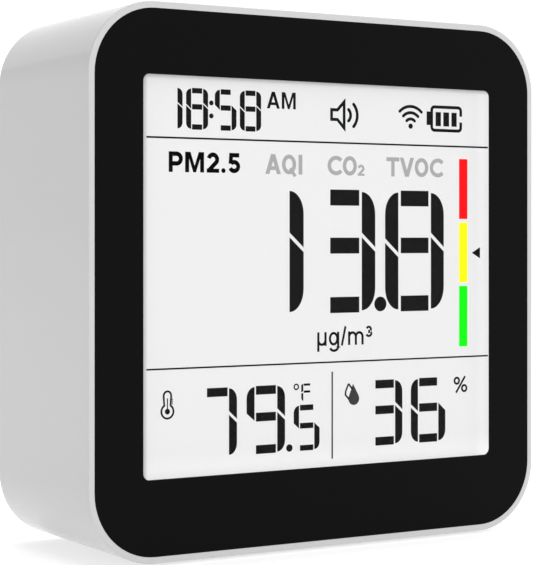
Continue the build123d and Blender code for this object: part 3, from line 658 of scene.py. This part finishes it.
def button(node, body, draw):
    """Cap with rounded edges and a shallow dish that holds its sign, on a flange and a stem."""
    low, high = (Vector(v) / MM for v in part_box(node))
    x, y, top = (low.x + high.x) / 2, (low.y + high.y) / 2, high.z
    mesh = bmesh.new()
    length, width = 8.0, high.y - low.y
    flange_low, flange_high, flange_width, corner = top - 3.82, top - 3.02, 3.0, 0.4
    stem_radius, sign_sink = 1.2, 0.13
    heights = ((flange_high - 0.05, 0), (top - 0.30, 0), (top - 0.12, 0.05), (top - 0.03, 0.16), (top, 0.34),
               (top - 0.02, 0.55), (top - 0.09, 0.85), (top - sign_sink, 1.2))
    loft(mesh, [pill(x, y, z, length - 2 * inset, width, inset) for z, inset in heights])
    edge = [(x + sx * (high.x - low.x - 2 * corner) / 2 + px, y + sy * (flange_width - 2 * corner) / 2 + py)
            for sx, sy, start in ((1, -1, -90), (1, 1, 0), (-1, 1, 90), (-1, -1, 180))
            for px, py in arc(0, 0, corner, corner, start, start + 90, 4)]
    loft(mesh, [[(px, py, z) for px, py in edge] for z in (flange_low, flange_high)])
    stem = arc(x, y, stem_radius, stem_radius, 0, 360, 28)[:-1]
    loft(mesh, [[(px, py, z) for px, py in stem] for z in (low.z, flange_low + 0.05)])
    finish(node + "_cap", mesh, BUTTON, body, node)
    face = (Vector((x, y, top - sign_sink)) * MM, (1, 0, 0), (0, 1, 0), (0, 0, 1))
    ink = Ink(node + "_sign", SIGN, "button_plastic", face, body)
    draw(ink)
    ink.done()


def sign_mode(ink):
    for z in (-0.52, 0, 0.52):
        ink.box(-0.9, 0.9, z - 0.1, z + 0.1)


def sign_power(ink):
    ink.stroke(arc(0, -0.08, 0.6, 0.6, 128, 412, 30), 0.18, round_ends=True)
    ink.box(-0.09, 0.09, 0.05, 0.74)


def sign_set(ink):
    ink.stroke([(-0.68, 0.05), (-0.18, -0.48), (0.72, 0.52)], 0.2, round_ends=True)


def foot_strips():
    """Rubber strips, ribbed lengthwise underneath."""
    mesh = bmesh.new()
    rib_height, rib_width, rib_spacing = 0.22, 0.5, 0.86
    for low, high in islands("foot_strips"):
        x, y = (low[0] + high[0]) / 2, (low[1] + high[1]) / 2
        length, width = high[0] - low[0], high[1] - low[1]
        loft(mesh, [pill(x, y, z, length - 2 * inset, width, inset)
                    for z, inset in ((high[2], 0), (rib_height + 0.12, 0), (rib_height, 0.12))])
        for step in range(-2, 3):
            reach = length - 1.6 - abs(step) * 0.9
            loft(mesh, [pill(x, y + step * rib_spacing, z, reach - 2 * inset, rib_width, inset, 5)
                        for z, inset in ((rib_height + 0.1, 0), (0.08, 0), (0.0, 0.08))])
    finish("foot_strips_ribbed", mesh, RUBBER, BODY, "foot_strips")


def vent_mesh():
    """Woven screen behind each set of vent slots."""
    mesh = bmesh.new()
    pitch, radius, wave = 0.6, 0.1, 0.04
    for low, high in islands("vent_mesh"):
        y = (low[1] + high[1]) / 2
        spans = (high[0] - low[0], high[2] - low[2])
        counts = [int((span - 0.4) / pitch) for span in spans]
        starts = [low[k] + (span - count * pitch) / 2 for k, span, count in zip((0, 2), spans, counts)]
        for along in (0, 1):
            across = 1 - along
            for i in range(counts[across] + 1):
                fixed = starts[across] + i * pitch
                rings = []
                for j in range(2 * counts[along] + 1):
                    run = starts[along] + j * pitch / 2
                    side = (1 if (i + along) % 2 else -1) * cos(pi * j / 2) * wave
                    ring = []
                    for a in (pi / 4, 3 * pi / 4, 5 * pi / 4, 7 * pi / 4):
                        level, depth = fixed + radius * cos(a), y + side + radius * sin(a)
                        ring.append((run, depth, level) if along == 0 else (level, depth, run))
                    rings.append(ring)
                loft(mesh, rings)
    finish("vent_mesh_woven", mesh, MESH, BODY, "vent_mesh")


def label_print():
    """Plain ruled blocks on the rear label, in place of its small print."""
    low, high = (Vector(v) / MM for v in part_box("rating_label"))
    middle = Vector(((low.x + high.x) / 2, high.y, (low.z + high.z) / 2)) * MM
    ink = Ink("label_print", SIGN, "label_paper", (middle, (-1, 0, 0), (0, 0, 1), (0, 1, 0)))
    outline = []
    for sx, sz, start in ((1, 1, 0), (-1, 1, 90), (-1, -1, 180), (1, -1, 270)):
        outline += arc(sx * 11.7, sz * 4.7, 0.6, 0.6, start, start + 90, 5)
    ink.stroke(outline, 0.14, closed=True)
    for row, reach in enumerate((11.0, 13.5, 9.5, 12.0, 7.0)):
        ink.box(-11.0, -11.0 + reach, 3.35 - row * 1.75, 3.85 - row * 1.75)
    # direct current: a line over three dashes
    ink.box(5.0, 9.2, 0.9, 1.3)
    for x in (5.0, 6.6, 8.2):
        ink.box(x, x + 1.0, -0.2, 0.2)
    ink.ring(7.1, -2.8, 1.25, 1.25, 0.25)
    ink.box(6.98, 7.22, -3.5, -2.1)
    ink.done()


SIGN = plastic("sign_grey", (0.13, 0.13, 0.13), 0.6)
for node, draw in (("mode", sign_mode), ("power", sign_power), ("set", sign_set)):
    button("button_" + node, "button_" + node, draw)
foot_strips()
vent_mesh()
label_print()

# ---------------------------------------------------------------- stage, light and camera
PANEL_MIDDLE = Vector((0, FRONT_Y, MIDDLE_Z))
FLOOR_RADIUS = 60  # far enough for its edge to meet the horizon
LIGHT_TARGET = Vector((0, 0, 0.04))
CAMERA_OFFSET = Vector((-167.4, -247.2, 6.6))  # from the panel's middle, in millimetres
CAMERA_TURN = -32.33  # degrees about Z
CAMERA_LENS = 123.43
CAMERA_SHIFT = -0.0803


def add_floor():
    """Pale round floor that glows a little, so that it stays white away from the lamps."""
    mesh = bmesh.new()
    edge = arc(0, 0, FLOOR_RADIUS, FLOOR_RADIUS, 0, 360, 48)[:-1]
    mesh.faces.new([mesh.verts.new((x, y, 0)) for x, y in edge])
    data = bpy.data.meshes.new("floor")
    mesh.to_mesh(data)
    mesh.free()
    floor = bpy.data.objects.new("floor", data)
    bpy.context.collection.objects.link(floor)
    material, nodes, _ = new_material("floor_white")
    for socket, value in (("Base Color", (0.65, 0.65, 0.65, 1)), ("Emission Color", (1, 1, 1, 1)),
                          ("Emission Strength", 0.52), ("Roughness", 0.9), ("Specular IOR Level", 0.1)):
        nodes["Principled BSDF"].inputs[socket].default_value = value
    data.materials.append(material)


def add_world():
    """White all round, dimmer on the left, where it brightens down to the horizon to meet the floor."""
    world = bpy.data.worlds.new("studio")
    world.use_nodes = True
    tree = world.node_tree
    background = tree.nodes["Background"]
    background.inputs["Color"].default_value = (1, 1, 1, 1)
    place = tree.nodes.new("ShaderNodeTexCoord")
    parts = tree.nodes.new("ShaderNodeSeparateXYZ")
    tree.links.new(place.outputs["Generated"], parts.inputs["Vector"])
    across = remap(tree, parts.outputs["X"], -1.0, 0.30, 0.36, 0.57)
    # the crisp left edge of a broad white screen behind
    screen = remap(tree, parts.outputs["X"], -0.300, -0.288, 0.0, 0.53)
    haze = remap(tree, parts.outputs["Z"], 0.0, 0.5, 0.57, 0.0)
    total = combine(tree, "ADD", across, combine(tree, "MAXIMUM", screen, haze))
    tree.links.new(total, background.inputs["Strength"])
    bpy.context.scene.world = world


def add_light(name, place, size, power):
    """Square soft light, aimed at the middle of the part."""
    data = bpy.data.lights.new(name, "AREA")
    data.shape = "RECTANGLE"
    data.size, data.size_y = size, size
    data.energy = power
    lamp = bpy.data.objects.new(name, data)
    lamp.location = place
    lamp.rotation_euler = (LIGHT_TARGET - Vector(place)).to_track_quat("-Z", "Y").to_euler()
    bpy.context.collection.objects.link(lamp)


add_floor()
add_world()
add_light("top", (0.1, 0.1, 1.1), 0.8, 3.5)
add_light("front", (-0.1, -1.2, 0.5), 0.7, 2.4)

camera_data = bpy.data.cameras.new("camera")
camera_data.lens = CAMERA_LENS
camera_data.sensor_width = 36.0
camera_data.shift_y = CAMERA_SHIFT
camera_data.clip_start = 0.01
camera = bpy.data.objects.new("camera", camera_data)
camera.location = PANEL_MIDDLE + CAMERA_OFFSET * MM
camera.rotation_euler = (radians(90), 0, radians(CAMERA_TURN))
bpy.context.collection.objects.link(camera)
bpy.context.scene.camera = camera
bpy.context.scene.view_settings.view_transform = "Standard"
